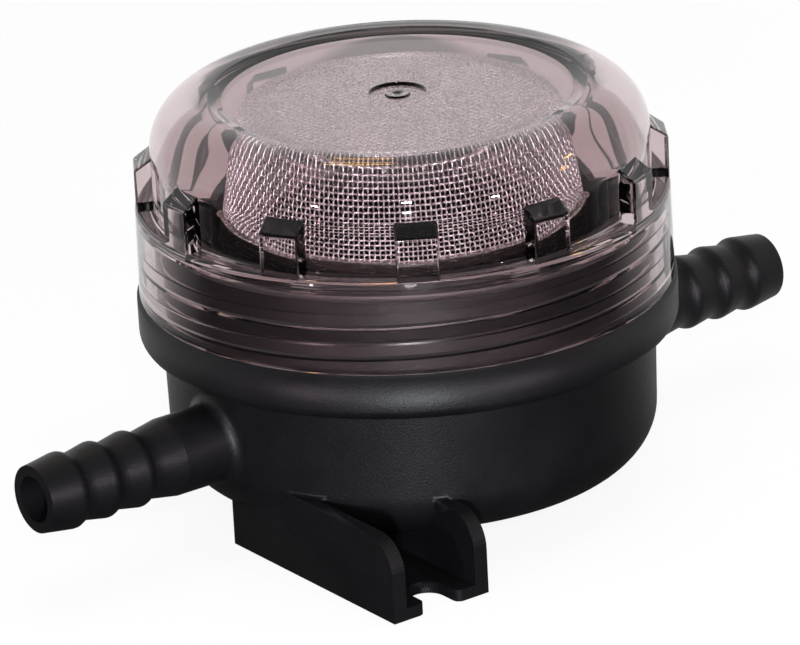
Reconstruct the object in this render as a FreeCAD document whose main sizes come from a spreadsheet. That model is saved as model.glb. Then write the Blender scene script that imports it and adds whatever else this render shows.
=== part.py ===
import FreeCAD, Part
import Sketcher
import math
import os

os.makedirs("parts", exist_ok=True)

# In-line sea water strainer: a black moulded housing with two hose tails and two slotted feet, a clear
# screw-on cover with twelve grip lugs, and a stainless mesh hat that stands on the housing's inner well.
# Frame: Z is the axis of the round body, X runs along the hose tails, Z = 0 is the underside of the feet.
# Water enters the -X tail into the space around the well, rises into the cover, passes inward through the
# mesh and leaves down the well and through the +X tail.

SIZES = {
    # housing: well, cup, flange and threaded neck
    "well_radius": 27.8,        # outside of the inner well that carries the screen
    "well_wall": 2.4,
    "well_lip": 0.6,            # well's top above the neck's
    "passage": 6.4,             # water's way round the well
    "cup_base": 5.3,            # underside of the cup above the feet's underside
    "cup_wall": 4.25,
    "cup_draft": 0.3,           # cup's widening from its bottom round to the flange
    "cup_round": 8.4,           # outer round between wall and base
    "base_wall": 3.0,
    "bowl_round": 4.0,          # inner round at the foot of the cup's wall
    "flange_depth": 7.0,
    "flange_lip": 0.4,          # flange past the cover's skirt
    "flange_round": 1.8,
    "flange_fillet": 0.6,
    "neck_wall": 3.7,           # to the root of the neck's thread
    "neck_rise": 10.7,          # flange to the shoulder on which the seal lies
    "spigot_wall": 1.8,
    "spigot_rise": 3.2,
    # hose tails
    "tail_height": 12.6,        # tails' line above the cup's underside
    "tail_length": 32.75,       # past the top of the cup's wall
    "tail_tip_radius": 5.37,
    "barb_crest": 6.18,
    "barb_groove": 5.32,
    "barb_lead": 5.65,          # tip to the first crest
    "barb_pitch": 6.05,
    "barb_back": 1.4,           # length of a barb's steep side
    "tail_root": 6.2,
    "tail_swell": 5.2,          # cone from the last barb's groove to the root
    "tail_fillet": 1.8,
    "fillet_gap": 1.2,          # plain wall between the tail's fillet and the flange's
    "tail_bore": 3.7,
    "duct_radius": 6.0,         # boss that carries the outlet across the water's way
    # feet
    "foot_width": 17.8,
    "foot_inset": 2.95,         # outer side of a foot inside the cup's foot radius
    "foot_setback": 0.4,        # front of a foot behind the flange's edge
    "foot_rise": 12.9,
    "foot_corner": 5.5,
    "foot_wall": 2.4,
    "foot_web": 1.9,
    "slot_width": 6.0,
    "slot_depth": 6.8,
    "land_round": 1.2,          # corners of the two lands beside a slot
    # cover
    "cover_gap": 0.3,           # skirt's end above the flange
    "thread_room": 1.5,         # neck's thread root to the cover's thread root
    "skirt_wall": 2.6,
    "skirt_draft": 0.2,
    "skirt_round": 0.5,         # outer corner at the skirt's end
    "ledge_wall": 2.4,
    "ledge_round": 0.8,
    "spigot_clearance": 0.6,
    "cover_wall": 2.4,
    "dome_round": 8.0,
    "dome_hollow": 8.0,         # round inside the dome's shoulder
    "dome_rise": 16.5,          # ledge to the rim of the recessed top
    "crest_width": 2.6,         # flat rim round the recessed top
    "crown_recess": 0.7,
    "gate_radius": 4.4,
    "gate_recess": 0.5,
    "sprue_radius": 2.0,
    "sprue_rise": 0.3,
    "lug_width": 6.6,
    "lug_depth": 2.6,           # lug's outer face past the dome's wall
    "lug_face": 6.7,
    "lug_rise": 9.4,
    "lug_round": 0.5,
    "lug_turn": -3.0,           # degrees from +X to the first lug
    # seal between cover and housing
    "seal_cord": 1.0,           # radius of the seal's round section
    "seal_slack": 0.2,
    "seal_clearance": 0.3,
    # screen
    "gasket_thickness": 1.2,
    "rim_clearance": 0.3,
    "rim_metal": 0.6,
    "rim_skirt": 4.0,           # rim's length down the outside of the well
    "rim_collar": 0.8,          # rim's upstand round the foot of the mesh
    "mesh_thickness": 0.7,
    "mesh_headroom": 1.1,       # screen's crown below the cover's underside
    "mesh_taper": 2.0,          # well's radius less the screen's at its shoulder
    "mesh_round": 2.4,
    "mesh_hem": 1.6,            # plain band at the mesh's foot
    "window_rise": 0.77,        # open share of each row's height
    "window_share": 0.74,       # open share of each step round the mesh
    "crown_share": 0.78,        # open share of each step across the crown
    "crown_border": 1.2,        # steps from the crown's last window to its round
}
LUGS = 12
BARBS = 3
MESH_COLUMNS = 26
MESH_ROWS = 3
CROWN_WINDOWS = 7               # along the widest row of the crown

doc = FreeCAD.newDocument("sea_water_strainer")
sheet = doc.addObject("Spreadsheet::Sheet", "Sizes")
for row, (alias, value) in enumerate(SIZES.items(), start=1):
    sheet.set(f"A{row}", alias)
    sheet.set(f"B{row}", str(value))
    sheet.setAlias(f"B{row}", alias)
doc.recompute()


class Size:
    """A length with the sheet expression that gives it."""

    def __init__(self, value, text):
        self.value = float(value)
        self.text = text

    @staticmethod
    def of(other):
        return other if isinstance(other, Size) else Size(other, repr(float(other)))

    def __add__(self, other):
        other = Size.of(other)
        return Size(self.value + other.value, f"({self.text} + {other.text})")

    def __radd__(self, other):
        return Size.of(other) + self

    def __sub__(self, other):
        other = Size.of(other)
        return Size(self.value - other.value, f"({self.text} - {other.text})")

    def __rsub__(self, other):
        return Size.of(other) - self

    def __mul__(self, other):
        other = Size.of(other)
        return Size(self.value * other.value, f"({self.text} * {other.text})")

    def __rmul__(self, other):
        return Size.of(other) * self

    def __truediv__(self, other):
        other = Size.of(other)
        return Size(self.value / other.value, f"({self.text} / {other.text})")

    def __neg__(self):
        return Size(-self.value, f"(0 - {self.text})")


def size(alias):
    return Size(float(sheet.get(alias)), f"Sizes.{alias}")


def bind(item, prop, length):
    """Bind one property of an object to a size."""
    item.setExpression(prop, Size.of(length).text)


# ---------------------------------------------------------------- lengths that follow from the sizes

# radii, from the well outwards
CUP_BORE = size("well_radius") + size("passage")
CUP_LOW = CUP_BORE + size("cup_wall")
CUP_TOP = CUP_LOW + size("cup_draft")
NECK_RADIUS = CUP_BORE + size("neck_wall")
SPIGOT_RADIUS = CUP_BORE + size("spigot_wall")
SKIRT_BORE = NECK_RADIUS + size("thread_room")
SKIRT_RADIUS = SKIRT_BORE + size("skirt_wall")
FLANGE_RADIUS = SKIRT_RADIUS + size("flange_lip")
DOME_BORE = SPIGOT_RADIUS + size("spigot_clearance")
DOME_RADIUS = DOME_BORE + size("cover_wall")
LUG_REACH = DOME_RADIUS + size("lug_depth")
MESH_SHOULDER = size("well_radius") - size("mesh_taper")
TAIL_REACH = CUP_TOP + size("tail_length")
# heights, from the cup's underside upwards
TAIL_AXIS = size("cup_base") + size("tail_height")
TAIL_HEAD = TAIL_AXIS + size("tail_root") + size("tail_fillet")
FLANGE_UNDER = TAIL_HEAD + size("fillet_gap") + size("flange_fillet")
FLANGE_TOP = FLANGE_UNDER + size("flange_depth")
NECK_TOP = FLANGE_TOP + size("neck_rise")
SPIGOT_TOP = NECK_TOP + size("spigot_rise")
WELL_TOP = NECK_TOP + size("well_lip")
LEDGE_UNDER = NECK_TOP + 2 * size("seal_cord") + size("seal_slack")
LEDGE_TOP = LEDGE_UNDER + size("ledge_wall")
DOME_TOP = LEDGE_TOP + size("dome_rise")
MESH_TOP = DOME_TOP - size("cover_wall") - size("mesh_headroom")
# feet
FOOT_LEFT = CUP_LOW - size("foot_inset")
FOOT_MIDDLE = FOOT_LEFT - size("foot_width") / 2
FOOT_FRONT = FLANGE_RADIUS - size("foot_setback")


# ---------------------------------------------------------------- bodies, sketches and features

def new_body(label):
    body = doc.addObject("PartDesign::Body", label)
    body.Label = label
    body.AllowCompound = True
    return body


def origin_feature(body, role):
    for feature in body.Origin.OriginFeatures:
        if feature.Role == role:
            return feature
    raise ValueError(role)


def arc_middle(start, end, radius, side):
    """Point half way along the short arc from start to end, to the left of the chord when side is 1."""
    chord = end - start
    sag = radius - math.sqrt(max(radius ** 2 - chord.Length ** 2 / 4, 0))
    left = FreeCAD.Vector(-chord.y, chord.x, 0).normalize()
    return (start + end) / 2 + left * sag * side


def add_outline(sketch, path):
    """Draw one closed outline; each point is (x, y), or (x, y, radius, side) at the end of an arc."""
    spots = [FreeCAD.Vector(Size.of(p[0]).value, Size.of(p[1]).value, 0) for p in path]
    edges = []
    for i, point in enumerate(path):
        start, end = spots[i - 1], spots[i]
        if len(point) == 2:
            geo = sketch.addGeometry(Part.LineSegment(start, end), False)
        else:
            middle = arc_middle(start, end, Size.of(point[2]).value, point[3])
            geo = sketch.addGeometry(Part.Arc(start, middle, end), False)
        first = sketch.getPoint(geo, 1)
        forward = (first - start).Length < (first - end).Length
        edges.append((geo, 1 if forward else 2, 2 if forward else 1))
        if len(point) == 4:
            index = sketch.addConstraint(Sketcher.Constraint("Radius", geo, Size.of(point[2]).value))
            bind(sketch, f"Constraints[{index}]", point[2])
    for i, point in enumerate(path):
        geo, _, end = edges[i]
        after, begin, _ = edges[(i + 1) % len(edges)]
        sketch.addConstraint(Sketcher.Constraint("Coincident", geo, end, after, begin))
        for kind, axis, length in (("DistanceX", -2, point[0]), ("DistanceY", -1, point[1])):
            if not isinstance(length, Size) and length == 0:
                sketch.addConstraint(Sketcher.Constraint("PointOnObject", geo, end, axis))
                continue
            index = sketch.addConstraint(
                Sketcher.Constraint(kind, -1, 1, geo, end, Size.of(length).value))
            bind(sketch, f"Constraints[{index}]", length)


def new_sketch(body, name, role, outlines, offset=None):
    """Sketch on one of the body's own planes; offset maps x, y or z of the attachment to a size."""
    sketch = body.newObject("Sketcher::SketchObject", name)
    sketch.AttachmentSupport = [(origin_feature(body, role), "")]
    sketch.MapMode = "FlatFace"
    for outline in outlines:
        add_outline(sketch, outline)
    for axis, length in (offset or {}).items():
        bind(sketch, f"AttachmentOffset.Base.{axis}", length)
    return sketch


def extrude(body, kind, name, sketch, length, reverse=False, midplane=False):
    """Pad or Pocket of a sketch; a Pocket that removes nothing is an error."""
    before = body.Shape.Volume if body.Tip else 0.0
    feature = body.newObject(f"PartDesign::{kind}", name)
    feature.Profile = sketch
    feature.Reversed = reverse
    feature.Midplane = midplane
    bind(feature, "Length", length)
    return settle(body, feature, before, kind == "Pocket")


def spin(body, kind, name, sketch, axis):
    """Revolution or Groove of a sketch about one of the sketch's own axes."""
    before = body.Shape.Volume if body.Tip else 0.0
    feature = body.newObject(f"PartDesign::{kind}", name)
    feature.Profile = sketch
    feature.ReferenceAxis = (sketch, [axis])
    feature.Angle = 360
    return settle(body, feature, before, kind == "Groove")


def settle(body, feature, before, cuts):
    doc.recompute()
    change = feature.Shape.Volume - before
    if (change > -1e-3) if cuts else (change < 1e-3):
        raise RuntimeError(f"{feature.Name} changed the volume by {change:.3f}")
    return feature


def repeat_round(body, name, originals, count):
    pattern = body.newObject("PartDesign::PolarPattern", name)
    pattern.Originals = originals
    pattern.Axis = (origin_feature(body, "Z_Axis"), [""])
    pattern.Angle = 360
    pattern.Occurrences = count
    body.Tip = pattern
    doc.recompute()
    return pattern


def round_edges(body, name, radius, wanted):
    """Fillet the edges of the body's tip that the test picks out."""
    base = body.Tip
    names = [f"Edge{i}" for i, edge in enumerate(base.Shape.Edges, start=1) if wanted(edge)]
    if not names:
        raise RuntimeError(f"{name} found no edge")
    feature = body.newObject("PartDesign::Fillet", name)
    feature.Base = (base, names)
    bind(feature, "Radius", radius)
    doc.recompute()
    return feature


# ---------------------------------------------------------------- housing

def build_housing():
    body = new_body("housing")
    add_feet(body)
    add_shell(body)
    add_tails(body)
    return body


def add_feet(body):
    """Two slotted channels, each open at the front and closed at the body's middle plane."""
    left, front = FOOT_LEFT, -FOOT_FRONT
    rise, corner = size("foot_rise"), size("foot_corner")
    side = [(0, 0), (0, rise), (front + corner, rise), (front, rise - corner, corner, -1), (front, 0)]
    sketch = new_sketch(body, "FootSide", "YZ_Plane", [side], {"z": -left})
    block = extrude(body, "Pad", "FootBlock", sketch, size("foot_width"))

    wall, web = size("foot_wall"), size("foot_web")
    near, far = wall - left, size("foot_width") - left - wall
    section = [(near, web), (far, web), (far, rise + wall), (near, rise + wall)]
    sketch = new_sketch(body, "FootChannelSection", "XZ_Plane", [section], {"z": wall})
    channel = extrude(body, "Pocket", "FootChannel", sketch, FOOT_FRONT, reverse=True)

    radius = size("slot_width") / 2
    middle = -FOOT_MIDDLE
    depth = front + size("slot_depth")
    flare = size("land_round")
    slot = [(middle - radius - flare, front - flare), (middle + radius + flare, front - flare),
            (middle + radius + flare, front),
            (middle + radius, front + flare, flare, 1),
            (middle + radius, depth - radius),
            (middle, depth, radius, -1),
            (middle - radius, depth - radius, radius, -1),
            (middle - radius, front + flare),
            (middle - radius - flare, front, flare, 1)]
    sketch = new_sketch(body, "FootSlotOutline", "XY_Plane", [slot])
    notch = extrude(body, "Pocket", "FootSlot", sketch, web + wall, reverse=True)
    repeat_round(body, "FootPair", [block, channel, notch], 2)


def add_shell(body):
    """Cup, flange and neck, then the hollow round the well and the hollow inside it."""
    base, low, rnd = size("cup_base"), CUP_LOW, size("cup_round")
    under, edge, bevel = FLANGE_UNDER, FLANGE_RADIUS, size("flange_round")
    outer = [(0, base), (low - rnd, base), (low, base + rnd, rnd, -1),
             (CUP_TOP, under), (edge - bevel, under), (edge, under + bevel, bevel, -1),
             (edge, FLANGE_TOP), (NECK_RADIUS, FLANGE_TOP), (NECK_RADIUS, NECK_TOP),
             (SPIGOT_RADIUS, NECK_TOP), (SPIGOT_RADIUS, SPIGOT_TOP), (0, SPIGOT_TOP)]
    sketch = new_sketch(body, "ShellSection", "XZ_Plane", [outer])
    spin(body, "Revolution", "Shell", sketch, "V_Axis")

    floor = base + size("base_wall")
    bore, bowl = CUP_BORE, size("bowl_round")
    well, top = size("well_radius"), WELL_TOP
    above = SPIGOT_TOP + size("base_wall")
    hollow = [(well, floor), (bore - bowl, floor), (bore, floor + bowl, bowl, -1),
              (bore, above), (0, above), (0, top), (well, top)]
    sketch = new_sketch(body, "HollowSection", "XZ_Plane", [hollow])
    spin(body, "Groove", "Hollow", sketch, "V_Axis")
    inside = [(0, floor), (well - size("well_wall"), floor), (well - size("well_wall"), above), (0, above)]
    sketch = new_sketch(body, "WellSection", "XZ_Plane", [inside])
    spin(body, "Groove", "Well", sketch, "V_Axis")

    height, ring = under.value, CUP_TOP.value
    round_edges(body, "FlangeFillet", size("flange_fillet"), lambda edge: is_ring(edge, ring, height))


def is_ring(edge, radius, height):
    """True for a circle of this radius about the body's axis at this height, or an arc of it."""
    curve = edge.Curve
    if not isinstance(curve, Part.Circle):
        return False
    level = abs(curve.Center.z - height) < 1e-3 and abs(abs(curve.Axis.z) - 1) < 1e-6
    return level and abs(curve.Radius - radius) < 1e-3


def add_tails(body):
    """Two barbed hose tails on one line, the outlet's duct to the well, and both bores."""
    line = {"y": TAIL_AXIS}
    start = (CUP_BORE + CUP_LOW) / 2
    reach, crest, groove = TAIL_REACH, size("barb_crest"), size("barb_groove")
    back = size("barb_back")
    last = reach - size("barb_lead") - size("barb_pitch") * (BARBS - 1) - back
    outline = [(start, 0), (start, size("tail_root")), (last - size("tail_swell"), size("tail_root"))]
    for barb in reversed(range(BARBS)):
        peak = reach - size("barb_lead") - size("barb_pitch") * barb
        outline += [(peak - back, groove), (peak, crest)]
    outline += [(reach, size("tail_tip_radius")), (reach, 0)]
    sketch = new_sketch(body, "TailSection", "XZ_Plane", [outline], line)
    tail = spin(body, "Revolution", "Tail", sketch, "H_Axis")
    repeat_round(body, "TailPair", [tail], 2)

    height, root = TAIL_AXIS.value, size("tail_root").value
    slack = size("tail_root").value - size("barb_groove").value

    def at_root(edge):
        """True where every point of the edge is on the tail's root, outside the cup's bore."""
        spots = edge.discretize(5)
        ringed = all(abs(math.hypot(p.y, p.z - height) - root) < slack / 2 for p in spots)
        return ringed and all(math.hypot(p.x, p.y) > start.value + slack for p in spots)

    round_edges(body, "TailFillet", size("tail_fillet"), at_root)

    bore = size("tail_bore")
    inner = size("well_radius") - size("well_wall") / 2
    duct = [(inner, 0), (inner, size("duct_radius")), (start, size("duct_radius")), (start, 0)]
    sketch = new_sketch(body, "DuctSection", "XZ_Plane", [duct], line)
    spin(body, "Revolution", "Duct", sketch, "H_Axis")
    inside = size("well_radius") - 2 * size("well_wall")
    outlet = [(inside, 0), (inside, bore), (reach + bore, bore), (reach + bore, 0)]
    sketch = new_sketch(body, "OutletSection", "XZ_Plane", [outlet], line)
    spin(body, "Groove", "OutletBore", sketch, "H_Axis")
    gap = (CUP_BORE + size("well_radius")) / 2
    inlet = [(-gap, 0), (-gap, bore), (-(reach + bore), bore), (-(reach + bore), 0)]
    sketch = new_sketch(body, "InletSection", "XZ_Plane", [inlet], line)
    spin(body, "Groove", "InletBore", sketch, "H_Axis")


# ---------------------------------------------------------------- cover and seal

def build_cover():
    """Clear screw cover: skirt, ledge, domed top with a recessed crown and gate mark, and grip lugs."""
    body = new_body("cover")
    foot, bore, ledge = FLANGE_TOP + size("cover_gap"), SKIRT_BORE, LEDGE_TOP
    hem, nose = size("skirt_round"), size("ledge_round")
    skirt, brow = SKIRT_RADIUS, SKIRT_RADIUS - size("skirt_draft")
    dome, rnd, top = DOME_RADIUS, size("dome_round"), DOME_TOP
    wall = size("cover_wall")
    crown = top - size("crown_recess")
    pit = crown - size("gate_recess")
    lip = dome - rnd - size("crest_width")
    hollow = size("dome_hollow")
    section = [(bore, foot), (skirt - hem, foot), (skirt, foot + hem, hem, -1),
               (brow, ledge - nose), (brow - nose, ledge, nose, -1),
               (dome, ledge), (dome, top - rnd), (dome - rnd, top, rnd, -1),
               (lip, top), (lip - size("crown_recess"), crown),
               (size("gate_radius"), crown), (size("gate_radius"), pit),
               (size("sprue_radius"), pit), (size("sprue_radius"), pit + size("sprue_rise")),
               (0, pit + size("sprue_rise")), (0, top - wall),
               (DOME_BORE - hollow, top - wall), (DOME_BORE, top - wall - hollow, hollow, 1),
               (DOME_BORE, LEDGE_UNDER), (bore, LEDGE_UNDER)]
    sketch = new_sketch(body, "CoverSection", "XZ_Plane", [section])
    spin(body, "Revolution", "CoverShell", sketch, "V_Axis")

    root = dome - wall / 2
    lug = [(root, ledge), (LUG_REACH, ledge), (LUG_REACH, ledge + size("lug_face")),
           (root, ledge + size("lug_rise"))]
    sketch = new_sketch(body, "LugSide", "XZ_Plane", [lug])
    block = extrude(body, "Pad", "Lug", sketch, size("lug_width"), midplane=True)
    repeat_round(body, "Lugs", [block], LUGS)

    face = math.hypot(LUG_REACH.value, size("lug_width").value / 2)
    height = size("lug_face").value

    def at_corner(edge):
        """True for an upright edge at either side of a lug's outer face."""
        upright = abs(edge.Length - height) < 1e-3 and edge.BoundBox.ZLength > height - 1e-3
        return upright and abs(math.hypot(*edge.CenterOfMass[:2]) - face) < 1e-3

    round_edges(body, "LugRounds", size("lug_round"), at_corner)
    body.Placement = FreeCAD.Placement()
    bind(body, "Placement.Rotation.Angle", size("lug_turn"))
    return body


def build_seal():
    """Round rubber ring on the neck's shoulder, under the cover's ledge."""
    ring = doc.addObject("Part::Torus", "cover_seal")
    ring.Label = "cover_seal"
    cord = size("seal_cord")
    bind(ring, "Radius1", SPIGOT_RADIUS + size("seal_clearance") + cord)
    bind(ring, "Radius2", cord)
    bind(ring, "Placement.Base.z", (NECK_TOP + LEDGE_UNDER) / 2)
    return ring


# ---------------------------------------------------------------- screen

def build_gasket():
    body = new_body("screen_gasket")
    outer, top = size("well_radius"), WELL_TOP
    inner, thick = outer - size("well_wall"), size("gasket_thickness")
    section = [(inner, top), (outer, top), (outer, top + thick), (inner, top + thick)]
    sketch = new_sketch(body, "GasketSection", "XZ_Plane", [section])
    spin(body, "Revolution", "Gasket", sketch, "V_Axis")
    return body


def rim_face():
    """Height of the rim's flat seat, on top of the gasket."""
    return WELL_TOP + size("gasket_thickness")


def build_rim():
    """Pressed ring: skirt down the outside of the well, seat on the gasket, collar up round the mesh."""
    body = new_body("screen_rim")
    metal, seat = size("rim_metal"), rim_face()
    inner = size("well_radius") - size("well_wall")
    fit = size("well_radius") + size("rim_clearance")
    collar = seat + metal + size("rim_collar")
    section = [(inner, seat), (fit, seat), (fit, seat - size("rim_skirt")),
               (fit + metal, seat - size("rim_skirt")), (fit + metal, collar), (fit, collar),
               (fit, seat + metal), (inner, seat + metal)]
    sketch = new_sketch(body, "RimSection", "XZ_Plane", [section])
    spin(body, "Revolution", "Rim", sketch, "V_Axis")
    return body


def build_mesh():
    """Tapered mesh hat with a flat crown, its weave shown by rows of windows."""
    body = new_body("screen_mesh")
    foot = rim_face() + size("rim_metal")
    low, high, top = size("well_radius"), MESH_SHOULDER, MESH_TOP
    thick, rnd = size("mesh_thickness"), size("mesh_round")
    section = [(low - thick, foot), (low, foot), (high, top - rnd), (high - rnd, top, rnd, -1), (0, top),
               (0, top - thick), (high - rnd, top - thick), (high - thick, top - rnd, rnd - thick, 1)]
    sketch = new_sketch(body, "HatSection", "XZ_Plane", [section])
    spin(body, "Revolution", "Hat", sketch, "V_Axis")

    span = (CROWN_WINDOWS - 1) / 2
    pitch = (high - rnd) / (span + size("crown_border"))
    half = pitch * size("crown_share") / 2
    for i in range(CROWN_WINDOWS):
        y = i - span
        reach = int(math.sqrt((span + 0.3) ** 2 - y ** 2))
        front = pitch * y - half
        row = []
        for x in range(-reach, reach + 1):
            left = pitch * x - half
            row.append([(left, front), (left + 2 * half, front), (left + 2 * half, front + 2 * half),
                        (left, front + 2 * half)])
        sketch = new_sketch(body, f"CrownRow{i}", "XY_Plane", row, {"z": top + thick})
        extrude(body, "Pocket", f"CrownWindows{i}", sketch, 3 * thick)

    share = size("window_share") * (2 * math.pi / MESH_COLUMNS) / 2
    hem = foot + size("mesh_hem")
    step = (top - rnd - hem) / MESH_ROWS
    rows = []
    for row in range(MESH_ROWS):
        bottom, half = hem + step * row, share * high
        head = bottom + step * size("window_rise")
        rows.append([(-half, bottom), (half, bottom), (half, head), (-half, head)])
    inside = high - rnd - 2 * thick
    sketch = new_sketch(body, "WindowColumn", "XZ_Plane", rows, {"z": inside})
    column = extrude(body, "Pocket", "Windows", sketch, low + thick - inside, reverse=True)
    repeat_round(body, "WindowColumns", [column], MESH_COLUMNS)
    return body


def main():
    pieces = [build_housing(), build_cover(), build_seal(), build_gasket(), build_rim(), build_mesh()]
    doc.recompute()
    for item in doc.Objects:
        if "Invalid" in item.State or "Error" in item.State:
            raise RuntimeError(f"{item.Name} failed: {item.State}")
    for piece in pieces:
        if piece.Shape.isNull() or not piece.Shape.isValid():
            raise RuntimeError(f"{piece.Label} has no valid shape")
        print(piece.Label, len(piece.Shape.Solids), round(piece.Shape.Volume, 1))
        piece.Shape.exportStep(f"parts/{piece.Label}.step")


main()
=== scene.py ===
"""Looks for an in-line sea water strainer: black housing, clear screw cover, woven wire hat."""
import logging
import math
from abc import ABC, abstractmethod
from dataclasses import dataclass
from enum import Enum
from typing import ClassVar, Iterable, Sequence

import bmesh
import bpy
import numpy as np
from bmesh.types import BMEdge, BMesh, BMVert
from bpy.types import ID, Material, Mesh, NodeSocket, NodeTree, Object
from mathutils import Matrix, Vector


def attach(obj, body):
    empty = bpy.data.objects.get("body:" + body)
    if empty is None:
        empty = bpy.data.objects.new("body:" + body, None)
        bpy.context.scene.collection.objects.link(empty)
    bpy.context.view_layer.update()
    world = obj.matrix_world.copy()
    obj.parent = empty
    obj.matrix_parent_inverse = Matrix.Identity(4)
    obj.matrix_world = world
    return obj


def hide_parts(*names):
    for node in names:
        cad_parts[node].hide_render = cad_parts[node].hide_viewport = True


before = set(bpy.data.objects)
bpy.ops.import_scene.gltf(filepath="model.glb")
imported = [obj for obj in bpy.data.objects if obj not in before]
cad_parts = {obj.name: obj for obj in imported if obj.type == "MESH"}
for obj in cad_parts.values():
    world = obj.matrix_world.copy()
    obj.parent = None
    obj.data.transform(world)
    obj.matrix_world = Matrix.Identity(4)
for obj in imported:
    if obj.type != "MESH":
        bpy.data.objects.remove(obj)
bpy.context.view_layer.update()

LOG = logging.getLogger("strainer")

MM = 0.001
CENTRE = (0, 0, 0)
UPWARDS = (0, 0, 1)
ON_AXIS = 1e-6        # millimetres: a point nearer the axis than this lies on it
SPUN_WELD = 1e-7      # metres: corners of a spun shell nearer than this are one
CAD_WELD = 1e-6       # metres: corners of a CAD node's triangles nearer than this are one
SHARP = 32.0          # degrees: edges sharper than this stay sharp
LEVEL_WEIGHT = 90     # how far a broad flat sets the shading at its rounds

Colour = tuple[float, float, float]
Point2 = tuple[float, float]
Point3 = tuple[float, float, float]
Stops = tuple[tuple[float, Colour | float], tuple[float, Colour | float]]


class Body(Enum):
    """Bodies that a piece can move with."""

    HOUSING = "housing"
    SEAL = "seal"
    COVER = "cover"


class Slot(Enum):
    """The record's material slots."""

    BLACK_PLASTIC = "black_plastic"
    CLEAR_PLASTIC = "clear_plastic"
    SEAL_RUBBER = "seal_rubber"
    STAINLESS = "stainless"
    STAINLESS_MESH = "stainless_mesh"


class Glow(Enum):
    """Nodes that give an even light."""

    SURFACE = "ShaderNodeEmission"
    SURROUNDINGS = "ShaderNodeBackground"


# ---------------------------------------------------------------- shader nodes

class Operation(Enum):
    """Math node operations used by the finishes."""

    ADD = "ADD"
    SUBTRACT = "SUBTRACT"
    MULTIPLY = "MULTIPLY"
    MAXIMUM = "MAXIMUM"
    ABSOLUTE = "ABSOLUTE"


class Socket:
    """A node's output that can be used in arithmetic on values."""

    def __init__(self, net: "Net", output: NodeSocket | None) -> None:
        """Wraps one output of a net's node."""
        self.net = net
        self.output = output

    def _math(self, operation: Operation, first: "Socket | float",
              second: "Socket | float") -> "Socket":
        """Result of a Math node on two values."""
        return self.net.add("ShaderNodeMath", {"operation": operation.value}, {0: first, 1: second})

    def __add__(self, other: "Socket | float") -> "Socket":
        """Sum of this value and another."""
        return self._math(Operation.ADD, self, other)

    def __radd__(self, other: float) -> "Socket":
        """Sum of a number and this value."""
        return self._math(Operation.ADD, other, self)

    def __sub__(self, other: "Socket | float") -> "Socket":
        """This value less another."""
        return self._math(Operation.SUBTRACT, self, other)

    def __rsub__(self, other: float) -> "Socket":
        """A number less this value."""
        return self._math(Operation.SUBTRACT, other, self)

    def __mul__(self, other: "Socket | float") -> "Socket":
        """Product of this value and another."""
        return self._math(Operation.MULTIPLY, self, other)

    def __rmul__(self, other: float) -> "Socket":
        """Product of a number and this value."""
        return self._math(Operation.MULTIPLY, other, self)

    def at_least(self, other: "Socket | float") -> "Socket":
        """The larger of this value and another."""
        return self._math(Operation.MAXIMUM, self, other)

    def unsigned(self) -> "Socket":
        """This value without its sign."""
        return self._math(Operation.ABSOLUTE, self, 0.0)


Value = Socket | float | tuple[float, ...]


@dataclass(frozen=True)
class Grain:
    """One layer of fractal noise.

    Attributes:
        size: how far across its lumps are, in metres.
        detail: number of finer layers.
        roughness: strength of the finer layers.
        stretch: how much finer the lumps are along each axis.
    """

    size: float
    detail: float
    roughness: float
    stretch: Point3 = (1, 1, 1)


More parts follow.
